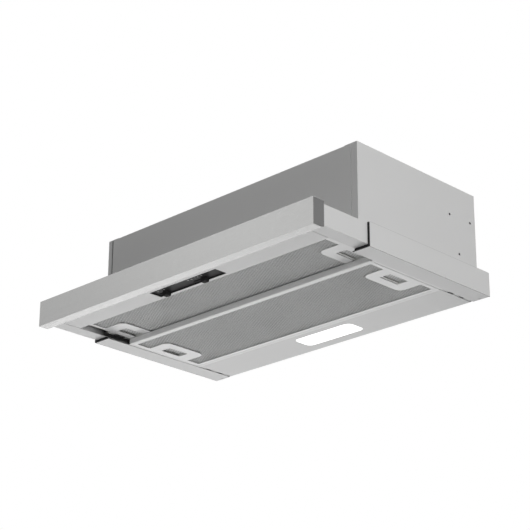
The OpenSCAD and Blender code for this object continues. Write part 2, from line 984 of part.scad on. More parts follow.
// Tube on the base ring, with the flaps' seat and the pin's two bosses
module duct_collar() {
    color("#2f3033")
        hung()
            translate([0, duct_y, 0])
                difference() {
                    translate([0, 0, shoulder_z])
                        cylinder(r = duct_r, h = duct_h);
                    difference() {
                        translate([0, 0, shoulder_z - cut])
                            cylinder(r = duct_in_r, h = duct_h + 2 * cut);
                        difference() {
                            translate([0, 0, pin_z - flap_t / 2 - sheet_fit - seat_t])
                                cylinder(r = duct_in_r + duct_wall / 2, h = seat_t);
                            translate([0, 0, shoulder_z])
                                cylinder(r = duct_in_r - seat_w_in, h = duct_h);
                        }
                        both()
                            translate([0, 0, pin_z])
                                rod_x(duct_in_r - boss_l, duct_in_r + duct_wall / 2, boss_r);
                    }
                    translate([0, 0, pin_z])
                        rod_x(-duct_in_r, duct_in_r, pin_r + pin_fit / 2);
                }
}

// Steel pin across the collar
module flap_pin() {
    color("#c8c8c8")
        hung()
            translate([0, duct_y, pin_z])
                rod_x(-(duct_in_r - pin_inset), duct_in_r - pin_inset, pin_r);
}

// Half-round flap; knuckles from inner to outer place on both sides of the middle
module flap(k0, k1) {
    difference() {
        union() {
            intersection() {
                translate([0, 0, -flap_t / 2])
                    cylinder(r = flap_r, h = flap_t);
                union() {
                    block([-flap_r, flap_start, -flap_t], [flap_r, flap_r, flap_t]);
                    both()
                        block([k0, 0, -flap_t], [k1, flap_start + cut, flap_t]);
                }
            }
            both()
                rod_x(k0, k1, knuckle_r);
        }
        rod_x(-flap_r, flap_r, pin_r + pin_fit);
        both()
            translate([duct_in_r - boss_l - flap_gap, -boss_r - flap_gap, -boss_r])
                cube([duct_wall + boss_l, 2 * (boss_r + flap_gap), 2 * boss_r]);
    }
}

module flap_front() {
    color("#46484c")
        hung()
            translate([0, duct_y, pin_z])
                mirror([0, 1, 0])
                    flap(knuckle_l / 2 + knuckle_gap, knuckle_l + knuckle_gap);
}

module flap_rear() {
    color("#46484c")
        hung()
            translate([0, duct_y, pin_z])
                flap(0, knuckle_l / 2);
}

// ---- ball slides

// Outline centred on the slide's mid height: X from the body, Z up
module slide_bracket() {
    h = slide_h / 2;
    along_y(slide_y, slide_y + slide_l)
        translate([body_x, slide_z])
            difference() {
                translate([0, -h])
                    square([bracket_d, slide_h]);
                translate([-cut, -h + sheet])
                    square([bracket_d + cut - sheet, slide_h - 2 * sheet]);
            }
}

module slide_brackets() {
    color("#a9acb0")
        hung()
            both()
                slide_bracket();
}

// Grooves that the balls run in
module ball_grooves(y0, y1) {
    for (s = [-1, 1])
        translate([ball_x, 0, slide_z + s * ball_z])
            rod_y(y0 - cut, y1 + cut, ball_d / 2 + groove_fit);
}

// Fixed member
module slide_outer() {
    y1 = slide_y + slide_l;
    h = slide_h / 2;
    difference() {
        along_y(slide_y, y1)
            translate([slide_x, slide_z])
                difference() {
                    translate([0, -h])
                        square([slide_arm, slide_h]);
                    translate([slide_wall, -h + slide_wall])
                        square([slide_arm, slide_h - 2 * slide_wall]);
                }
        ball_grooves(slide_y, y1);
    }
}

module slide_outer_right() {
    color("#54575b")
        hung()
            slide_outer();
}

module slide_outer_left() {
    color("#54575b")
        hung()
            left()
                slide_outer();
}

// Moving member, on the drawer's side bar
module slide_inner() {
    y1 = slide_y + slide_l;
    x1 = bar_x - sheet;
    difference() {
        along_y(slide_y, y1)
            translate([0, slide_z])
                difference() {
                    translate([inner_slide_x, -inner_arm_z])
                        square([x1 - inner_slide_x, 2 * inner_arm_z]);
                    translate([inner_slide_x - cut, -inner_arm_z + slide_wall])
                        square([x1 - inner_slide_x + cut - slide_wall, 2 * (inner_arm_z - slide_wall)]);
                }
        ball_grooves(slide_y, y1);
    }
}

module slide_inner_right() {
    color("#6a6d71")
        pulled()
            slide_inner();
}

module slide_inner_left() {
    color("#6a6d71")
        pulled()
            left()
                slide_inner();
}

// Places of the balls in a cage
function ball_y(i) = (i - (balls - 1) / 2) * ball_pitch;

// Cage that keeps the balls apart; it moves half as far as the drawer
module ball_cage() {
    h = ball_z + cage_t / 2;
    x1 = ball_x + cage_reach;
    translate([0, cage_y, slide_z])
        difference() {
            union() {
                block([cage_x, -cage_l / 2, -h], [cage_x + cage_t, cage_l / 2, h]);
                for (s = [-1, 1])
                    translate([0, 0, s * ball_z])
                        block([cage_x, -cage_l / 2, -cage_t / 2], [x1, cage_l / 2, cage_t / 2]);
            }
            for (i = [0 : balls - 1], s = [-1, 1])
                translate([ball_x, ball_y(i), s * ball_z - ball_d / 2])
                    cylinder(r = ball_d / 2 + groove_fit, h = ball_d);
        }
}

module ball_cage_right() {
    color("#b5b088")
        hung()
            ball_cage();
}

module ball_cage_left() {
    color("#b5b088")
        hung()
            left()
                ball_cage();
}

module ball_rows() {
    for (i = [0 : balls - 1], s = [-1, 1])
        translate([ball_x, cage_y + ball_y(i), slide_z + s * ball_z])
            sphere(d = ball_d, $fn = 24);
}

module slide_balls_right() {
    color("#e0e0e0")
        hung()
            ball_rows();
}

module slide_balls_left() {
    color("#e0e0e0")
        hung()
            left()
                ball_rows();
}

// ---- drawer switch and connection box

// Switch at the rear of the right rail, pressed when the drawer is shut
module drawer_switch() {
    color("#26282a")
        hung()
            difference() {
                block([switch_x, switch_y, slide_z - switch_h / 2],
                    [switch_x + switch_w, inner_y, slide_z + switch_h / 2]);
                translate([switch_x + switch_w / 2, 0, slide_z])
                    rod_y(switch_y - cut, switch_y + plunger_in + plunger_travel + plunger_fit,
                        plunger_r + plunger_fit);
            }
}

module switch_plunger() {
    color("#c0392b")
        hung()
            translate([switch_x + switch_w / 2, 0, slide_z])
                rod_y(switch_y - plunger_out, switch_y + plunger_in, plunger_r);
}

// Box with the mains terminals, under the top plate
module connection_box() {
    y1 = rail_l - inlet_back - box_gap;
    z1 = body_top - sheet;
    color("#d9d9d4")
        hung() {
            block([box_x, y1 - box_d, z1 - box_h], [box_x + box_w, y1, z1]);
            block([box_x - box_lid, y1 - box_d - box_lid, z1 - box_h],
                [box_x + box_w + box_lid, y1 + box_lid, z1 - box_h + 2 * box_lid]);
        }
}

// Rubber grommet where the mains cable enters
module cable_inlet() {
    r = inlet_hole_r;
    color("#1e1f21")
        hung()
            translate([box_x + box_w / 2, rail_l - inlet_back, body_top - sheet / 2])
                difference() {
                    union() {
                        translate([0, 0, -sheet / 2])
                            cylinder(r = r, h = sheet);
                        translate([0, 0, sheet / 2])
                            cylinder(r1 = r + grommet_lip, r2 = r, h = grommet_t);
                        translate([0, 0, -sheet / 2 - grommet_t])
                            cylinder(r = r + grommet_lip, h = grommet_t);
                    }
                    translate([0, 0, -sheet / 2 - grommet_t - cut])
                        cylinder(r = cable_r, h = sheet + 2 * (grommet_t + cut));
                }
}

// ---- filters

// Shape of both latch plates on the filter, seen from below
module latch_area(extra) {
    both()
        translate([latch_in_x - extra, latch_y + latch_shift - latch_l / 2 - extra])
            square([latch_w - sheet + extra, latch_l + 2 * extra]);
}

// Frame of a filter: border, walls and rear tabs, open over and under the mesh
module filter_frame() {
    b = filter_border;
    b_side = filter_side_border;
    tongue_slot = catch_fit;
    difference() {
        union() {
            intersection() {
                along_x(-filter_x, filter_x)
                    soft_foot(0, filter_d, filter_t, filter_round);
                along_y(0, filter_d)
                    soft_foot(-filter_x, filter_x, filter_t, filter_round);
            }
            for (s = tab_shares)
                translate([s * filter_x, filter_d, filter_t - tab_t - catch_fit / 2])
                    block([-tab_w / 2, -cut, 0], [tab_w / 2, tab_l, tab_t]);
        }
        block([-filter_x + sheet, sheet, sheet], [filter_x - sheet, filter_d - sheet, filter_t - sheet]);
        block([-filter_x + b_side, b, -cut], [filter_x - b_side, filter_d - b, 2 * sheet]);
        block([-filter_x + filter_rim, filter_rim, filter_t - 2 * sheet],
            [filter_x - filter_rim, filter_d - filter_rim, filter_t + cut]);
        along_z(-cut, sheet + cut)
            latch_area(0);
        for (s = [-1, 1])
            both()
                translate([filter_x, latch_y + s * tongue_pitch / 2, catch_z])
                    block([-2 * sheet, -tongue_w / 2 - tongue_slot, -tongue_slot],
                        [cut, tongue_w / 2 + tongue_slot, catch_t + tongue_slot]);
    }
}

// Pad of folded mesh, with room for the latches
module filter_mesh() {
    x = filter_x - sheet - catch_fit;
    y0 = sheet + catch_fit;
    difference() {
        block([-x, y0, sheet + catch_fit], [x, filter_d - y0, filter_t - sheet - catch_fit]);
        along_z(-cut, mesh_floor)
            both()
                translate([latch_in_x - catch_fit, latch_y + latch_shift - latch_l / 2 - catch_fit])
                    square([latch_w, latch_l + 2 * catch_fit]);
    }
}

// Latch plate with its finger window, guides and stop
module latch_plate() {
    x1 = filter_x - sheet;
    z1 = catch_z + catch_t;
    translate([0, latch_y, 0]) {
        along_z(0, latch_t)
            difference() {
                translate([0, latch_shift]) {
                    translate([latch_in_x + latch_r, -latch_l / 2])
                        square([x1 - latch_in_x - latch_r, latch_l]);
                    translate([latch_in_x, -latch_l / 2 + latch_r])
                        square([2 * latch_r, latch_l - 2 * latch_r]);
                    for (s = [-1, 1])
                        translate([latch_in_x + latch_r, s * (latch_l / 2 - latch_r)])
                            circle(latch_r);
                }
                translate([(window_in_x + window_out_x) / 2, 0])
                    rounded(window_w, window_l, guide_t);
            }
        for (s = [-1, 1])
            translate([0, s * (catch_l / 2 + catch_fit + guide_t / 2), 0])
                block([stop_x, -guide_t / 2, 0], [catch_end_x, guide_t / 2, z1]);
        block([stop_x, -catch_l / 2, 0], [stop_x + guide_t, catch_l / 2, z1]);
    }
}

module latch_plates() {
    both()
        latch_plate();
}

// Sliding catch: finger opening, two tongues and two bow springs
module catch(tip_x) {
    w = catch_l / 2;
    translate([0, latch_y, 0])
        along_z(catch_z, catch_z + catch_t) {
            difference() {
                translate([catch_start_x, -w])
                    square([catch_end_x - catch_start_x, catch_l]);
                translate([catch_in_x, -window_l / 2 + catch_fit])
                    square([catch_out_x - catch_in_x, window_l - 2 * catch_fit]);
            }
            for (s = [-1, 1])
                translate([0, s * tongue_pitch / 2])
                    polygon([[catch_end_x, -tongue_w / 2], [tip_x - tongue_w / 8, -tongue_w / 2],
                        [tip_x, -tongue_w / 3], [tip_x, tongue_w / 3],
                        [tip_x - tongue_w / 8, tongue_w / 2], [catch_end_x, tongue_w / 2]]);
            for (s = [-1, 1])
                translate([catch_start_x, s * bow_y])
                    difference() {
                        circle(bow_r);
                        circle(bow_r - bow_t);
                        translate([0, -2 * bow_r])
                            square([2 * bow_r, 4 * bow_r]);
                    }
        }
}

// Places a rear filter piece in the body
module rear_filter_place() {
    hung()
        translate([0, filter_y, 0])
            children();
}

// Places a front filter piece in the drawer
module front_filter_place() {
    pulled()
        translate([0, front_filter_y, front_filter_z])
            children();
}

module rear_filter_frame() {
    color("#d2d2d0")
        rear_filter_place()
            filter_frame();
}

module rear_filter_mesh() {
    color("#909290")
        rear_filter_place()
            filter_mesh();
}

module rear_latch_plates() {
    color("#d6d6d4")
        rear_filter_place()
            latch_plates();
}

module rear_catch_right() {
    color("#c8c8c6")
        rear_filter_place()
            catch(rear_tip_x);
}

module rear_catch_left() {
    color("#c8c8c6")
        rear_filter_place()
            left()
                catch(rear_tip_x);
}

module front_filter_frame() {
    color("#d2d2d0")
        front_filter_place()
            filter_frame();
}

module front_filter_mesh() {
    color("#909290")
        front_filter_place()
            filter_mesh();
}

module front_latch_plates() {
    color("#d6d6d4")
        front_filter_place()
            latch_plates();
}

module front_catch_right() {
    color("#c8c8c6")
        front_filter_place()
            catch(front_tip_x);
}

module front_catch_left() {
    color("#c8c8c6")
        front_filter_place()
            left()
                catch(front_tip_x);
}

// ---- drawer

// Side bar: foot with a turned-up edge, outer wall, top flange and ends
module drawer_side() {
    x0 = bar_in_x;
    x1 = bar_x;
    top_x = body_x + bar_slot;
    join_top = bar_top - 2 * sheet;
    along_y(bar_start, bar_l)
        polygon([[x0, bar_rise], [x1, bar_rise], [x1, bar_top], [top_x, bar_top], [top_x, bar_top - sheet],
            [x1 - sheet, bar_top - sheet], [x1 - sheet, bar_bottom_in], [x0 + sheet, bar_bottom_in],
            [x0 + sheet, lip_rise], [x0, lip_rise]]);
    block([x0, bar_start, bar_rise], [x0 + sheet, bar_back, join_top]);
    block([x0, bar_start, bar_rise], [x1 - sheet, bar_start + sheet, join_top]);
    block([cage_x + cage_t, bar_l - sheet, slide_z - striker_h / 2], [x1, bar_l, slide_z + striker_h / 2]);
}

module drawer_side_right() {
    color("#c8c8c6")
        pulled()
            drawer_side();
}

module drawer_side_left() {
    color("#c8c8c6")
        pulled()
            left()
                drawer_side();
}

// Holes or shanks of the screws between the panel and the drawer
module drawer_screw_places() {
    for (s = drawer_screw_shares)
        translate([s * half_w, 0, drawer_screw_z])
            children();
}

// Front bar that holds the controls, with its slot
module drawer_front_bar() {
    x = front_bar_x;
    z1 = bar_top - sheet;
    color("#c0c0be")
        pulled()
            difference() {
                union() {
                    along_x(-x, x)
                        polygon([[lip_back, bar_rise], [bar_back, bar_rise], [bar_back, z1],
                            [bar_back - bar_flange, z1], [bar_back - bar_flange, z1 - sheet],
                            [bar_back - sheet, z1 - sheet], [bar_back - sheet, bar_bottom_in],
                            [lip_back + sheet, bar_bottom_in], [lip_back + sheet, z1 - sheet],
                            [lip_back + bar_flange, z1 - sheet], [lip_back + bar_flange, z1], [lip_back, z1]]);
                    both()
                        block([x - sheet, lip_back, bar_rise], [x, bar_back, z1]);
                }
                block([slot_x - slot_w / 2, slot_y0, bar_rise - cut],
                    [slot_x + slot_w / 2, slot_y0 + slot_d, bar_bottom_in + cut]);
                drawer_screw_places()
                    rod_y(lip_back - cut, lip_back + 2 * sheet, screw_r + screw_fit);
            }
}

// Cover over the front filter's air space
module drawer_cover() {
    color("#b6b6b4")
        pulled() {
            block([-cover_x, lip_back, bar_top - sheet], [cover_x, cover_l, bar_top]);
            both()
                block([cover_x - sheet, bar_back + sheet, bar_top - cover_turn], [cover_x, cover_l, bar_top]);
        }
}

// Screws through the front bar into the panel's turned-up lip
module drawer_screws() {
    color("#d8d8d4")
        pulled()
            drawer_screw_places() {
                rod_y(lip_back - 4 * sheet, lip_back + sheet, screw_r);
                difference() {
                    rod_y(lip_back + sheet, lip_back + sheet + head_t, head_r);
                    rod_y(lip_back + sheet + head_t / 2, lip_back + sheet + 2 * head_t, screw_r);
                }
            }
}

// Brushed front panel, folded from one sheet
module front_trim() {
    x = half_w - cap_t - sheet_fit;
    z0 = -front_drop;
    z1 = z0 + front_h;
    color("#b0b0ae")
        pulled()
            difference() {
                union() {
                    along_x(-half_w, half_w)
                        polygon([[-front_d, z0], [lip_back, z0], [lip_back, z0 + sheet],
                            [-front_d + sheet, z0 + sheet], [-front_d + sheet, z1 - sheet],
                            [0, z1 - sheet], [0, z1], [-front_d, z1]]);
                    along_x(-x, x) {
                        polygon([[lip_back - sheet, z0], [lip_back, z0],
                            [lip_back, z0 + lip_turn], [lip_back - sheet, z0 + lip_turn]]);
                        polygon([[-sheet, bar_top + sheet_fit], [0, bar_top + sheet_fit],
                            [0, z1], [-sheet, z1]]);
                    }
                }
                drawer_screw_places()
                    rod_y(lip_back - 2 * sheet, lip_back + cut, screw_r + screw_fit);
            }
}

// Plastic end cap with the hollow plug that fits inside the panel
module end_cap() {
    x = half_w - cap_t;
    z0 = -front_drop;
    z1 = z0 + front_h;
    f = sheet + sheet_fit;
    along_x(x, half_w)
        polygon([[-front_d + f, z0 + f], [lip_back, z0 + f], [lip_back, z0 + cap_step],
            [0, z0 + cap_step], [0, z1 - f], [-front_d + f, z1 - f]]);
    along_x(x - plug_l, x)
        difference() {
            translate([-front_d + f, z0 + f])
                square([lip_d - 2 * f, front_h - 2 * f]);
            translate([-front_d + f + plug_wall, z0 + f + plug_wall])
                square([lip_d - 2 * (f + plug_wall), front_h - 2 * (f + plug_wall)]);
        }
}

module end_cap_right() {
    color("#6c6c6c")
        pulled()
            end_cap();
}

module end_cap_left() {
    color("#6c6c6c")
        pulled()
            left()
                end_cap();
}

// ---- controls

// Slot that a slider's stem runs in, to the left of its place at rest
module stem_slot(x, travel) {
    y = knob_y + (knob_d - stem_d) / 2;
    translate([slot_x + x - stem_w / 2 - stem_fit - travel, y - stem_fit])
        square([stem_w + 2 * stem_fit + travel, stem_d + 2 * stem_fit]);
}

module stem_slots() {
    stem_slot(light_x, light_travel);
    stem_slot(speed_x, speed_steps * speed_pitch);
}

// Dark tray in the slot
module control_fascia() {
    w = slot_w + 2 * fascia_rim;
    d = slot_d + 2 * fascia_rim;
    y = slot_y0 + slot_d / 2;
    color("#303133")
        pulled()
            difference() {
                translate([slot_x, y, 0])
                    along_z(bar_bottom_in, fascia_z + fascia_t)
                        rounded(w, d, fascia_rim);
                translate([slot_x, y, 0])
                    along_z(bar_rise, fascia_z)
                        square([slot_w, slot_d], center = true);
                along_z(0, fascia_z + fascia_t + cut)
                    stem_slots();
            }
}

// Switch block over the fascia
module control_box() {
    z0 = fascia_z + fascia_t;
    x = slot_w / 2 + control_side;
    y = slot_y0 + slot_d / 2;
    d = bar_back - sheet - sheet_fit - y;
    color("#222326")
        pulled()
            difference() {
                block([slot_x - x, y - d, z0], [slot_x + x, y + d, z0 + control_h]);
                along_z(0, z0 + stem_l)
                    stem_slots();
            }
}

// Slider knob: ribbed finger grip and stem
module knob() {
    ribs = 3;
    rib_r = 0.6;
    z1 = fascia_z - knob_gap;
    y = knob_y;
    difference() {
        block([-knob_w / 2, y, bar_rise - knob_out], [knob_w / 2, y + knob_d, z1]);
        for (i = [0 : ribs - 1])
            translate([(i - 1) * knob_w / ribs, 0, bar_rise - knob_out])
                rod_y(y - cut, y + knob_d + cut, rib_r);
    }
    block([-stem_w / 2, y + (knob_d - stem_d) / 2, z1],
        [stem_w / 2, y + (knob_d + stem_d) / 2, fascia_z + fascia_t + stem_l - stem_fit]);
}

module light_knob() {
    color("#1c1d1f")
        pulled()
            translate([slot_x + light_x, 0, 0])
                knob();
}

module speed_knob() {
    color("#1c1d1f")
        pulled()
            translate([slot_x + speed_x, 0, 0])
                knob();
}

// ---- the part

body_side_left();
body_side_right();
body_front_panel();
body_rear_panel();
body_top_plate();
rail_left();
rail_right();
rail_guides();
lamp_panel();
lamp_lens();
lamp_housing();
led_board();
led_driver();
fan_housing_left();
fan_housing_right();
fan_motor();
motor_bracket();
fan_shaft();
fan_wheel();
collar_base();
duct_collar();
flap_pin();
flap_front();
flap_rear();
slide_brackets();
slide_outer_left();
slide_outer_right();
ball_cage_left();
ball_cage_right();
slide_balls_left();
slide_balls_right();
slide_inner_left();
slide_inner_right();
drawer_switch();
switch_plunger();
connection_box();
cable_inlet();
body_screws();
rear_filter_frame();
rear_filter_mesh();
rear_latch_plates();
rear_catch_left();
rear_catch_right();
drawer_side_left();
drawer_side_right();
drawer_front_bar();
drawer_cover();
drawer_screws();
front_trim();
end_cap_left();
end_cap_right();
control_box();
control_fascia();
light_knob();
speed_knob();
front_filter_frame();
front_filter_mesh();
front_latch_plates();
front_catch_left();
front_catch_right();
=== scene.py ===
import bpy, bmesh
from math import cos, pi, radians, sin
from mathutils import Matrix, Vector, noise


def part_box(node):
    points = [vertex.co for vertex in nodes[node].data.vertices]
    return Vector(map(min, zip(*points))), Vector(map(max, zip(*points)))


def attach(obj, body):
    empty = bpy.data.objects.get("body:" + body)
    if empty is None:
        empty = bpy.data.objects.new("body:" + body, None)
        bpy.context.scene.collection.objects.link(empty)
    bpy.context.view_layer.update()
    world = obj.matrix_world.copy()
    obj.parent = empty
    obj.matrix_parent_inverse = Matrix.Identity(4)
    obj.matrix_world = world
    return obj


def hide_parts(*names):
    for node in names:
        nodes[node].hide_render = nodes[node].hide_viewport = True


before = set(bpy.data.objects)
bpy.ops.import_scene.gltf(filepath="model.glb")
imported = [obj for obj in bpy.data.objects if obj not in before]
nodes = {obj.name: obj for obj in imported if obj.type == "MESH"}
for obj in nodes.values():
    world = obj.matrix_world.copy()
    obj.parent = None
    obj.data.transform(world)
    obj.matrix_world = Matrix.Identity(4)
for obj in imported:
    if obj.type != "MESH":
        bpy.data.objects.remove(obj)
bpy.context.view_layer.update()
scene = bpy.context.scene

# ---- Camera
# It stands low, in front and to the right of the hood, and looks up at its
# underside, as the photographer's did.
azimuth, elevation, roll = radians(44.48), radians(-21.97), radians(0.22)
camera_place = (1.7595, -1.8602, -1.1083)
camera = bpy.data.objects.new("camera", bpy.data.cameras.new("camera"))
scene.collection.objects.link(camera)
scene.camera = camera
camera.data.lens = 116.08
camera.data.sensor_width = 36
camera.data.clip_end = 30
back = Vector((
    sin(azimuth) * cos(elevation), -cos(azimuth) * cos(elevation), sin(elevation)))
level = (-back).cross(Vector((0, 0, 1))).normalized()
above = level.cross(-back)
across = cos(roll) * level + sin(roll) * above
upward = cos(roll) * above - sin(roll) * level
camera.matrix_world = (
    Matrix.Translation(camera_place)
    @ Matrix((across, upward, back)).transposed().to_4x4())

# ---- Studio
# Pale floor where a kitchen's floor is, white surroundings, a wide soft
# light from above, and large lamps to the right, behind and below.
scene.view_settings.view_transform = "Standard"


def wire(tree, a, out, b, into):
    """Joins an output of one shader node to an input of another."""
    tree.links.new(a.outputs[out], b.inputs[into])


def add_node(tree, kind, sockets=None, operation=None):
    """Adds a shader node and sets some of its sockets, by name or place."""
    made = tree.nodes.new("ShaderNode" + kind)
    if operation:
        made.operation = operation
    for socket, value in (sockets or {}).items():
        made.inputs[socket].default_value = value
    return made


world = bpy.data.worlds.new("studio")
world.use_nodes = True
scene.world = world
tree = world.node_tree
tree.nodes.clear()
white = add_node(tree, "Background", {"Color": (1, 1, 1, 1), "Strength": 1})
ambient = add_node(
    tree, "Background", {"Color": (0.98, 0.99, 1, 1), "Strength": 0.02})
# the camera, and what metal and glass mirror, see white
path = add_node(tree, "LightPath")
direct = add_node(tree, "Math", operation="MAXIMUM")
wire(tree, path, "Is Camera Ray", direct, 0)
wire(tree, path, "Is Glossy Ray", direct, 1)
seen = add_node(tree, "Math", operation="MAXIMUM")
wire(tree, direct, 0, seen, 0)
wire(tree, path, "Is Transmission Ray", seen, 1)
mix = add_node(tree, "MixShader")
wire(tree, seen, 0, mix, 0)
wire(tree, ambient, 0, mix, 1)
wire(tree, white, 0, mix, 2)
wire(tree, mix, 0, add_node(tree, "OutputWorld"), 0)

hood_middle = Vector((0, -0.1, -0.1))
for name, place, size, power in (
    ("right_lamp", (2.3, -0.6, 0.1), 1.4, 35.3),
    ("rear_lamp", (-2.0, 1.9, -1.2), 1.6, 11.6),
    ("front_lamp", (-1.75, -2.2, 1.15), 0.8, 2.4),
    ("back_lamp", (-1.9, 1.7, 1.5), 1.2, 24),
    ("low_lamp", (-0.4, -1.05, -1.45), 0.8, 6.0),
):
    data = bpy.data.lights.new(name, "AREA")
    data.shape = "SQUARE"
    data.size = size
    data.energy = power
    lamp = bpy.data.objects.new(name, data)
    scene.collection.objects.link(lamp)
    aim = (hood_middle - Vector(place)).to_track_quat("-Z", "Y")
    lamp.matrix_world = Matrix.Translation(place) @ aim.to_matrix().to_4x4()
    lamp.visible_camera = False
sky = bpy.data.lights.new("sky", "SUN")
sky.energy = 0.2
sky.angle = radians(100)
scene.collection.objects.link(bpy.data.objects.new("sky", sky))


def matter(name, dark, light, rough, metal=0.0, patch=0.04, grain=0.0006,
           bump=0.05, stretch=(1, 1, 1), spread=0.06, shine=0.5):
    """Makes a surface of two tones in patches, with a fine grain.

    The grain shows in its tone, its relief and its gloss. Patch and grain
    are sizes in metres, each drawn out by stretch.
    """
    material = bpy.data.materials.new(name)
    material.use_nodes = True
    tree = material.node_tree
    shader = tree.nodes["Principled BSDF"]
    shader.inputs["Metallic"].default_value = metal
    shader.inputs["Specular IOR Level"].default_value = shine
    place = add_node(tree, "TexCoord")
    clouds = []
    for size, detail in ((patch, 3), (grain, 2)):
        scale = [1 / (size * s) for s in stretch]
        mapping = add_node(tree, "Mapping", {"Scale": scale})
        wire(tree, place, "Object", mapping, "Vector")
        cloud = add_node(tree, "TexNoise", {"Scale": 1, "Detail": detail})
        wire(tree, mapping, 0, cloud, "Vector")
        clouds.append(cloud)
    wide, fine = clouds

    # tone: half from the patches, half from the grain
    half_fine = add_node(tree, "Math", {1: 0.5}, "MULTIPLY")
    wire(tree, fine, "Fac", half_fine, 0)
    both = add_node(tree, "Math", {1: 0.5}, "MULTIPLY_ADD")
    wire(tree, wide, "Fac", both, 0)
    wire(tree, half_fine, 0, both, 2)
    tone = add_node(tree, "Mix", {6: (*dark, 1), 7: (*light, 1)})
    tone.data_type = "RGBA"
    wire(tree, both, 0, tone, 0)
    wire(tree, tone, 2, shader, "Base Color")

    gloss = add_node(tree, "MapRange", {
        "From Min": 0.3, "From Max": 0.7,
        "To Min": max(rough - spread, 0.05), "To Max": rough + spread})
    wire(tree, fine, "Fac", gloss, 0)
    wire(tree, gloss, 0, shader, "Roughness")
    relief = add_node(tree, "Bump", {"Strength": bump, "Distance": grain})
    wire(tree, fine, "Fac", relief, "Height")
    wire(tree, relief, 0, shader, "Normal")
    return material


floor_paint = matter(
    "floor_paint", (0.86, 0.86, 0.86), (0.9, 0.9, 0.9), 0.7, patch=0.5, grain=0.01)
# the camera sees the floor nearly white; it sheds no light of its own
tree = floor_paint.node_tree
shader = tree.nodes["Principled BSDF"]
path = add_node(tree, "LightPath")
raised = add_node(tree, "Math", {1: 0.6}, "MULTIPLY")
wire(tree, path, "Is Camera Ray", raised, 0)
shader.inputs["Emission Color"].default_value = (1, 1, 1, 1)
wire(tree, raised, 0, shader, "Emission Strength")
# from beneath, the camera looks through it
facing = add_node(tree, "NewGeometry")
beneath = add_node(tree, "Math", operation="MULTIPLY")
wire(tree, path, "Is Camera Ray", beneath, 0)
wire(tree, facing, "Backfacing", beneath, 1)
cover = add_node(tree, "MixShader")
wire(tree, beneath, 0, cover, 0)
wire(tree, shader, "BSDF", cover, 1)
wire(tree, add_node(tree, "BsdfTransparent"), "BSDF", cover, 2)
wire(tree, cover, 0, tree.nodes["Material Output"], "Surface")

reach, floor_height = 2.4, -1.75
mesh = bpy.data.meshes.new("floor")
mesh.from_pydata(
    [(-reach, -reach, 0), (reach, -reach, 0), (reach, reach, 0), (-reach, reach, 0)],
    [], [(0, 1, 2, 3)])
mesh.materials.append(floor_paint)
floor = bpy.data.objects.new("floor", mesh)
floor.location = (0, 0, floor_height)
scene.collection.objects.link(floor)

# ---- Body
# Folded from 0.8 mm steel sheet with a silver-grey coat: two sides, front,
# rear and top, screwed at the top and welded to the rails.
coat = matter(
    "coat", (0.60, 0.60, 0.597), (0.64, 0.64, 0.637), 0.42, metal=0.1,
    patch=0.12, grain=0.0009, bump=0.06)
edge_round = 0.0003


def dress(names, material, round_off=0.0):
    """Gives CAD nodes their surface and rounds their sharp edges a little."""
    for name in names.split():
        piece = nodes[name]
        for slot in piece.material_slots:
            slot.link = "OBJECT"
            slot.material = material
        if round_off:
            weld = piece.modifiers.new("weld", "WELD")
            weld.merge_threshold = 0.000002
            bend = piece.modifiers.new("bend", "BEVEL")
            bend.width = round_off
            bend.segments = 2
            bend.limit_method = "ANGLE"
            bend.angle_limit = radians(35)
            even = piece.modifiers.new("even", "WEIGHTED_NORMAL")
            even.mode = "FACE_AREA"
            even.weight = 100


dress("body_side_left body_side_right body_rear_panel body_top_plate", coat)
dress("body_front_panel", coat, edge_round)
zinc = matter(
    "zinc", (0.52, 0.53, 0.55), (0.66, 0.67, 0.68), 0.32, metal=0.9,
    patch=0.006, grain=0.0005, bump=0.05)
dress("body_screws", zinc)

# ---- Rails
# Two channels of the same coated sheet, welded along the body's lower edges,
# with painted shade lines along their edges; black moulded guides close their front
# mouths.
dress("rail_left rail_right", coat)
black_plastic = matter(
    "black_plastic", (0.018, 0.018, 0.02), (0.03, 0.03, 0.032), 0.5,
    patch=0.02, grain=0.0004, bump=0.12)
guide_plastic = matter(
    "guide_plastic", (0.012, 0.012, 0.013), (0.02, 0.02, 0.022), 0.6,
    patch=0.02, grain=0.0004, bump=0.12, shine=0.15)
dress("rail_guides", guide_plastic)
# two greys that paint shade into gaps and along edges: a deep one and a faint one
deep_shade_grey = matter(
    "deep_shade_grey", (0.10, 0.10, 0.10), (0.14, 0.14, 0.14), 0.7,
    patch=0.01, grain=0.0004, bump=0.2, shine=0.2)
faint_shade_grey = matter(
    "faint_shade_grey", (0.36, 0.36, 0.36), (0.44, 0.44, 0.44), 0.6,
    patch=0.01, grain=0.0004, bump=0.2, shine=0.2)


def thing(name, shape, material, body):
    """Makes a piece from a bmesh, in the row frame, and lets it ride on a body."""
    data = bpy.data.meshes.new(name)
    shape.to_mesh(data)
    shape.free()
    data.materials.append(material)
    piece = bpy.data.objects.new(name, data)
    scene.collection.objects.link(piece)
    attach(piece, body)
    return piece


def slab(shape, low, high):
    """Adds a box between two corners."""
    low, high = Vector(low), Vector(high)
    size = Matrix.Diagonal((*(high - low), 1))
    place = Matrix.Translation((low + high) / 2) @ size
    bmesh.ops.create_cube(shape, size=1, matrix=place)


def strip_piece(name, low, high, material, body):
    """Makes a straight strip of rectangular section between two corners."""
    shape = bmesh.new()
    slab(shape, low, high)
    thing(name, shape, material, body)
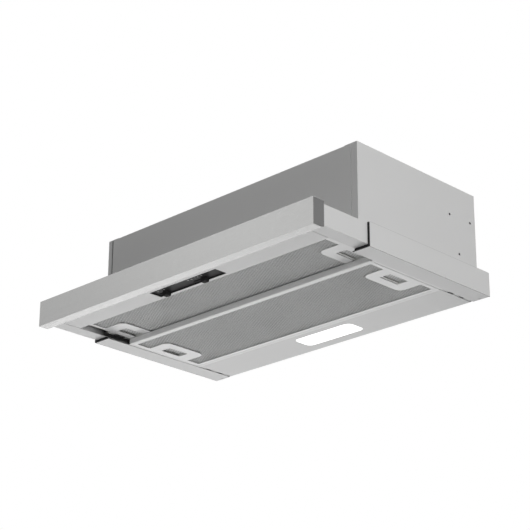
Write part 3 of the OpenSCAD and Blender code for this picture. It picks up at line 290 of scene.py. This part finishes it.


# painted shade lines: a dark one where the hem's gap runs along each lower edge, and a
# faint one on the upper edge
skin, sheet = 0.00004, 0.0008
rail_height, shade_line_width, top_line_height, top_line_end = 0.0384, 0.0007, 0.0004, 0.001
both_sides = (("left", -1), ("right", 1))
for name, side in both_sides:
    low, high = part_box("rail_" + name)
    edge = high.x if side > 0 else -low.x
    x = sorted((side * (edge - skin), side * (edge - shade_line_width)))
    strip_piece(
        "rail_low_shade_line_" + name, (x[0], low.y, low.z - skin),
        (x[1], high.y, low.z + skin), deep_shade_grey, "hood")
    strip_piece(
        "rail_top_shade_line_" + name,
        (x[0], low.y + top_line_end, low.z + rail_height),
        (x[1], high.y - top_line_end, low.z + rail_height + top_line_height),
        faint_shade_grey, "hood")
# the guides' flange, a sill and a post over each rail's cut front edges
flange_inset = 0.0004
guide_low, guide_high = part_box("rail_guides")
for name, side in both_sides:
    low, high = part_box("rail_" + name)
    inner, outer = sorted((abs(low.x), abs(high.x)))
    sill = ((inner + flange_inset, outer - skin), (low.z + skin, guide_low.z))
    post = (
        (guide_high.x, outer - skin), (guide_low.z, low.z + rail_height - sheet))
    shape = bmesh.new()
    for x, z in (sill, post):
        x = sorted(side * v for v in x)
        slab(shape, (x[0], guide_low.y, z[0]), (x[1], low.y, z[1]))
    thing("guide_flange_" + name, shape, guide_plastic, "hood")

# ---- Front joints
# Strips flush in the two upright gaps between the front sheet and the folded
# edges of the sides: the left one dark and wide, painted shadow of the sheet's edge in
# light from the right; the right one thin and mid-grey, a faint painted shade line.
joint_end, joint_depth = 0.001, 0.0011
left_gap, left_setback, right_gap = 0.0021, 0.0003, 0.0003
low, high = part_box("body_front_panel")
strip_piece(
    "front_shadow_line_left",
    (low.x - left_gap, low.y + left_setback, low.z + joint_end),
    (low.x, low.y + joint_depth, high.z - joint_end),
    deep_shade_grey, "hood")
strip_piece(
    "front_shade_line_right",
    (high.x, low.y + skin, low.z + joint_end),
    (high.x + right_gap, low.y + joint_depth - skin, high.z - joint_end),
    faint_shade_grey, "hood")

# ---- Lamp
# The panel behind the rear filter carries a strip of light-emitting diodes
# in a white housing, under a diffusing lens, with its driver beside it.
dress("lamp_panel", coat, edge_round)
white_plastic = matter(
    "white_plastic", (0.74, 0.74, 0.72), (0.80, 0.80, 0.78), 0.45,
    patch=0.03, grain=0.0005)
dress("lamp_housing led_driver", white_plastic, 0.0006)
board_mask = matter(
    "board_mask", (0.74, 0.73, 0.64), (0.80, 0.79, 0.70), 0.4,
    patch=0.01, grain=0.0004)
dress("led_board", board_mask)
glow = matter(
    "glow", (0.90, 0.90, 0.90), (0.94, 0.94, 0.94), 0.35,
    patch=0.02, grain=0.0006, bump=0.02)
lit = glow.node_tree.nodes["Principled BSDF"]
lit.inputs["Emission Color"].default_value = (1, 1, 1, 1)
lit.inputs["Emission Strength"].default_value = 0.8
dress("lamp_lens", glow, edge_round)

# ---- Fan
# Forward-curved wheel in a moulded scroll of two halves; the motor sits on
# a bracket over the left inlet.
fan_plastic = matter(
    "fan_plastic", (0.036, 0.038, 0.042), (0.05, 0.052, 0.056), 0.5,
    patch=0.02, grain=0.0005, bump=0.1)
dress("fan_housing_left fan_housing_right", fan_plastic)
wheel_plastic = matter(
    "wheel_plastic", (0.02, 0.021, 0.022), (0.03, 0.031, 0.033), 0.45,
    patch=0.02, grain=0.0005)
dress("fan_wheel", wheel_plastic)
cast_metal = matter(
    "cast_metal", (0.30, 0.31, 0.33), (0.40, 0.41, 0.43), 0.4, metal=0.8,
    patch=0.01, grain=0.0007, bump=0.15)
dress("fan_motor", cast_metal)
dress("motor_bracket", zinc, edge_round)
polished = matter(
    "polished", (0.66, 0.66, 0.67), (0.74, 0.74, 0.75), 0.18, metal=1.0,
    patch=0.01, grain=0.0004, spread=0.04)
dress("fan_shaft", polished)

# ---- Duct collar
# Black moulded collar on a screwed base ring. Two half-round flaps on a
# steel pin fall shut when the fan stops.
dress("collar_base duct_collar", black_plastic, 0.0004)
dress("flap_front flap_rear", fan_plastic, 0.0002)
dress("flap_pin", polished)

# ---- Ball slides
# Zinc-plated slides on brackets outside the body's lower walls; the balls of
# each row are kept apart by a plastic cage.
dress("slide_brackets", zinc, 0.0002)
# the slides' members are coloured far darker than zinc plating: painted shade for the gap
# they run in
slide_steel = matter(
    "slide_steel", (0.13, 0.135, 0.14), (0.19, 0.195, 0.2), 0.35, metal=0.8,
    patch=0.02, grain=0.0005, stretch=(1, 20, 1))
dress("slide_outer_left slide_outer_right slide_inner_left slide_inner_right", slide_steel)
cage_plastic = matter(
    "cage_plastic", (0.44, 0.41, 0.24), (0.52, 0.49, 0.30), 0.5,
    patch=0.01, grain=0.0004)
dress("ball_cage_left ball_cage_right", cage_plastic)
dress("slide_balls_left slide_balls_right", polished)

# ---- Switch, connection box and cable inlet
# The drawer presses the switch's red plunger when it is shut. The mains
# cable comes through a rubber grommet in the top into the white box.
dress("drawer_switch", black_plastic, 0.0004)
red_plastic = matter(
    "red_plastic", (0.50, 0.03, 0.02), (0.56, 0.05, 0.03), 0.3,
    patch=0.004, grain=0.0003)
dress("switch_plunger", red_plastic)
dress("connection_box", white_plastic, 0.0008)
rubber = matter(
    "rubber", (0.012, 0.012, 0.013), (0.02, 0.02, 0.021), 0.65,
    patch=0.01, grain=0.0004, bump=0.15)
dress("cable_inlet", rubber, edge_round)

# ---- Grease filters
# Frames folded from coated sheet round a stack of expanded aluminium. The
# outer layers are cut and stretched into small diamonds.
frame_coat = matter(
    "frame_coat", (0.71, 0.71, 0.707), (0.76, 0.76, 0.757), 0.38, metal=0.1,
    patch=0.06, grain=0.0007, bump=0.05)
dress("rear_filter_frame front_filter_frame", frame_coat, edge_round)
aluminium = matter(
    "aluminium", (0.68, 0.685, 0.68), (0.83, 0.835, 0.83), 0.36, metal=0.5,
    patch=0.004, grain=0.0004, bump=0.1, spread=0.12)
core_metal = matter(
    "core_metal", (0.48, 0.48, 0.475), (0.60, 0.60, 0.595), 0.55, metal=0.2,
    patch=0.002, grain=0.0005, bump=0.6)
diamond_l, diamond_w, strand, strand_lean = 0.0090, 0.0050, 0.00105, 0.00022
strand_drift, mesh_gauge = 0.0011, 0.0003
# without a seed, the strands would drift another way in each run
noise.seed_set(4)


def stretched(low, high, z, phase, cut=None, lift=0.0, width=strand):
    """Makes expanded sheet: zigzag strands that meet at their bends and lean.

    It leaves out the bends where cut is true, and waves up and down by lift.
    """
    shape = bmesh.new()
    coarse = 1
    step = diamond_l / 2 * coarse
    rows = int((high[1] - low[1]) / (diamond_w / 2 * coarse))
    for j in range(rows + 1):
        row_y = low[1] + (j + 0.5) * (high[1] - low[1]) / (rows + 1)
        turn = 1 if (j + phase) % 2 else -1
        before = None
        for i in range(int((high[0] - low[0]) / step) + 1):
            x = low[0] + i * step
            side = turn * (1 if i % 2 else -1)
            y = row_y + side * (diamond_w * coarse / 4 - width / 4)
            if cut and cut(x, y):
                before = None
                continue
            wave = lift * noise.noise(Vector((x * 45, y * 60, phase * 3.1)))
            drift = strand_drift * noise.noise_vector(
                Vector((x * 24, y * 24, phase * 2.3)))
            here = [
                shape.verts.new((
                    x + drift.x, y + drift.y + s * width / 2,
                    z + wave + s * side * strand_lean))
                for s in (-1, 1)]
            if before:
                shape.faces.new((before[0], here[0], here[1], before[1]))
            before = here
    return shape


plate_width, plate_corner, plate_overlap = 0.0485, 0.012, 0.0006
window_inset, window_width, window_half_depth = 0.012, 0.030, 0.022


def behind_plates(plates):
    """Gives a test for what the latch plates hide; their inner corners are round."""
    plate_low, plate_high = plates
    half_depth = (plate_high.y - plate_low.y) / 2
    plate_middle = (plate_high.y + plate_low.y) / 2
    plate_edge = plate_high.x - plate_width

    def hidden(x, y):
        u = abs(x) - plate_edge - plate_overlap
        v = half_depth - plate_overlap - abs(y - plate_middle)
        if u < 0 or v < 0:
            return False
        if u > plate_corner or v > plate_corner:
            return True
        return (plate_corner - u) ** 2 + (plate_corner - v) ** 2 < plate_corner ** 2

    return hidden


def inside(low, high, margin_x, margin_y):
    """Gives a box's corners in plan, drawn in by a margin."""
    return (
        (low.x + margin_x, low.y + margin_y), (high.x - margin_x, high.y - margin_y))


for part, body in (("rear", "hood"), ("front", "drawer")):
    low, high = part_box(part + "_filter_mesh")
    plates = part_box(part + "_latch_plates")
    hidden = behind_plates(plates)
    bottom = stretched(
        *inside(low, high, 0.006, 0.008), low.z + 0.0004, 0, hidden, 0.0003)
    bottom = thing(part + "_mesh_bottom", bottom, aluminium, body)
    bottom.modifiers.new("thick", "SOLIDIFY").thickness = mesh_gauge
    second = stretched(
        *inside(low, high, 0.007, 0.009), low.z + 0.0014, 1, hidden, 0.0003)
    thing(part + "_mesh_second", second, aluminium, body)
    top = stretched(*inside(low, high, 0.006, 0.006), high.z - 0.0004, 0, lift=0.0002)
    thing(part + "_mesh_top", top, aluminium, body)
    core = bmesh.new()
    slab(core, (low.x, low.y, low.z + 0.0029), (high.x, high.y, high.z - 0.0010))
    core = thing(part + "_mesh_core", core, core_metal, body)
    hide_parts(part + "_filter_mesh")
    window_edge = plates[1].x - plate_width + window_inset
    window_y = (low.y + high.y) / 2
    for name, side in both_sides:
        x = sorted((side * window_edge, side * (window_edge + window_width)))
        showing = stretched(
            (x[0], window_y - window_half_depth), (x[1], window_y + window_half_depth),
            low.z + 0.00255, 0, width=0.0018)
        thing(part + "_mesh_window_" + name, showing, aluminium, body)

# the rear filter's folded lips over the gaps to the rails and the lamp panel
lip_rail_gap, lip_frame_gap, lip_end, lip_low, lip_high = (
    0.0007, 0.0002, 0.0015, 0.0004, 0.0008)
low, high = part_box("rear_filter_frame")
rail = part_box("rail_right")[0].x
for name, side in both_sides:
    x = sorted((side * (high.x + lip_frame_gap), side * (rail - lip_rail_gap)))
    strip_piece(
        "rear_filter_lip_" + name,
        (x[0], low.y + lip_end, low.z + lip_low),
        (x[1], high.y - lip_end, low.z + lip_high),
        frame_coat, "hood")
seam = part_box("lamp_panel")[0].y
strip_piece(
    "rear_filter_lip_rear",
    (low.x + 0.001, seam - 0.0030, low.z - 0.00022),
    (high.x - 0.001, seam + 0.0014, low.z - skin),
    frame_coat, "hood")

# ---- Latches
# Pressed plates with a finger window; behind each, a sprung catch slides
# inwards to let the filter down.
dress("rear_latch_plates front_latch_plates", frame_coat, 0.0002)
dress("rear_catch_left rear_catch_right front_catch_left front_catch_right",
      white_plastic, 0.0002)

# ---- Drawer
# Side bars on the slides' inner members, a front bar that holds the
# controls, and a cover over the front filter's air space.
dress("drawer_side_left drawer_side_right drawer_front_bar drawer_cover",
      coat, edge_round)
dress("drawer_screws", zinc)

# ---- Drawer slot shade
# Grey strips with a felt-like grain along the side bars' inner walls, leaving
# the filter's catches free; their colour falls to near black towards the rails' mouths, as
# painted shade of the slot.
slot_shade_paint = matter(
    "slot_shade_paint", (0.66, 0.66, 0.66), (0.78, 0.78, 0.78), 0.9,
    patch=0.004, grain=0.0006, bump=0.5, shine=0.1)
tree = slot_shade_paint.node_tree
shader = tree.nodes["Principled BSDF"]
apart = add_node(tree, "SeparateXYZ")
wire(tree, tree.nodes["Texture Coordinate"], "Object", apart, 0)
# painted shade: the colour is multiplied down along the length, darkest at the rails'
# mouths
shade_falloff = add_node(tree, "MapRange", {
    "From Min": -0.200, "From Max": -0.166, "To Min": 1, "To Max": 0.05})
wire(tree, apart, "Y", shade_falloff, 0)
painted_shade = add_node(tree, "Mix", {0: 1})
painted_shade.data_type = "RGBA"
painted_shade.blend_type = "MULTIPLY"
tree.links.new(
    shader.inputs["Base Color"].links[0].from_socket, painted_shade.inputs[6])
wire(tree, shade_falloff, 0, painted_shade, 7)
wire(tree, painted_shade, 2, shader, "Base Color")

shade_strip_thick, shade_strip_end, shade_strip_above, catch_room = 0.0004, 0.001, 0.006, 0.002
tongue_low, tongue_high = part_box("front_catch_left")
for name, side in both_sides:
    low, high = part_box("drawer_side_" + name)
    wall = min(abs(low.x), abs(high.x))
    x = sorted((side * wall, side * (wall - shade_strip_thick)))
    first, last = low.y + shade_strip_end, high.y - shade_strip_end
    step = tongue_low.z - 0.0006
    strip_piece(
        "drawer_shade_strip_" + name, (x[0], first, low.z + 0.0006), (x[1], last, step),
        slot_shade_paint, "drawer")
    for place, y in (
        ("front", (first, tongue_low.y - catch_room)),
        ("rear", (tongue_high.y + catch_room, last)),
    ):
        strip_piece(
            "drawer_shade_strip_" + place + "_" + name, (x[0], y[0], step),
            (x[1], y[1], step + shade_strip_above), slot_shade_paint, "drawer")

# ---- Front panel and end caps
# One sheet of stainless steel, brushed along its length and folded round
# the drawer's front; grey plastic caps close its ends.
brushed = matter(
    "brushed", (0.325, 0.325, 0.322), (0.367, 0.367, 0.364), 0.34, metal=1.0,
    patch=0.0012, grain=0.0002, bump=0.08, stretch=(60, 1, 1), spread=0.08)
dress("front_trim", brushed)
cap_plastic = matter(
    "cap_plastic", (0.13, 0.13, 0.13), (0.16, 0.16, 0.16), 0.45,
    patch=0.01, grain=0.0004, bump=0.1)
dress("end_cap_left end_cap_right", cap_plastic, 0.0005)

# ---- Controls
# Dark tray in the drawer's front bar with a slider for the lamp and one for
# the fan's speed, each with its marks printed beside it.
tray_plastic = matter(
    "tray_plastic", (0.022, 0.022, 0.023), (0.034, 0.034, 0.035), 0.6,
    patch=0.012, grain=0.0004, bump=0.15, shine=0.18)
dress("control_box control_fascia", tray_plastic)
knob_plastic = matter(
    "knob_plastic", (0.026, 0.026, 0.027), (0.038, 0.038, 0.039), 0.6,
    patch=0.004, grain=0.0003, shine=0.06)
dress("light_knob speed_knob", knob_plastic, edge_round)

# ---- Printed marks
# One coat of white ink on the fascia: lamp off and on at the left, the fan's
# vanes, off and its three speeds at the right.
print_white = matter(
    "print_white", (0.62, 0.62, 0.60), (0.70, 0.70, 0.68), 0.55,
    patch=0.004, grain=0.0002)
mark_y, mark_z = -0.2371, -0.17046
off_ring = (0.0015, 0.0010)
lamp_off_x, lamp_on_x, vanes_x, fan_off_x = -0.0635, -0.0497, 0.0038, 0.0116
speeds = ((1, 0.0186), (2, 0.0251), (3, 0.0328))


def ring(shape, x, y, outer, inner):
    """Adds a thin printed ring that faces down."""
    sides = 28
    rims = [[
        shape.verts.new((
            x + r * cos(2 * pi * i / sides), y + r * sin(2 * pi * i / sides), mark_z))
        for i in range(sides)] for r in (outer, inner)]
    for i in range(sides):
        j = (i + 1) % sides
        shape.faces.new((rims[0][j], rims[0][i], rims[1][i], rims[1][j]))


def dash(shape, x, y, w, d, turn=0.0):
    """Adds a thin printed bar that faces down."""
    corners = ((-w / 2, -d / 2), (-w / 2, d / 2), (w / 2, d / 2), (w / 2, -d / 2))
    shape.faces.new([
        shape.verts.new((
            x + a * cos(turn) - b * sin(turn), y + a * sin(turn) + b * cos(turn),
            mark_z))
        for a, b in corners])


marks = bmesh.new()
ring(marks, lamp_off_x, mark_y, *off_ring)
ring(marks, lamp_on_x, mark_y, 0.0009, 0.0)
rays, ray_reach = 8, 0.0018
for k in range(rays):
    turn = k * pi / 4
    dash(marks, lamp_on_x + ray_reach * cos(turn), mark_y + ray_reach * sin(turn),
         0.0009, 0.0003, turn)
vanes, vane_reach = 3, 0.0012
for k in range(vanes):
    turn = k * 2 * pi / 3
    dash(marks, vanes_x + vane_reach * cos(turn), mark_y + vane_reach * sin(turn),
         0.0018, 0.0009, turn)
ring(marks, fan_off_x, mark_y, *off_ring)
for count, x in speeds:
    for k in range(count):
        dash(marks, x + (k - (count - 1) / 2) * 0.0010, mark_y, 0.0005, 0.0028)
thing("fascia_marks", marks, print_white, "drawer")
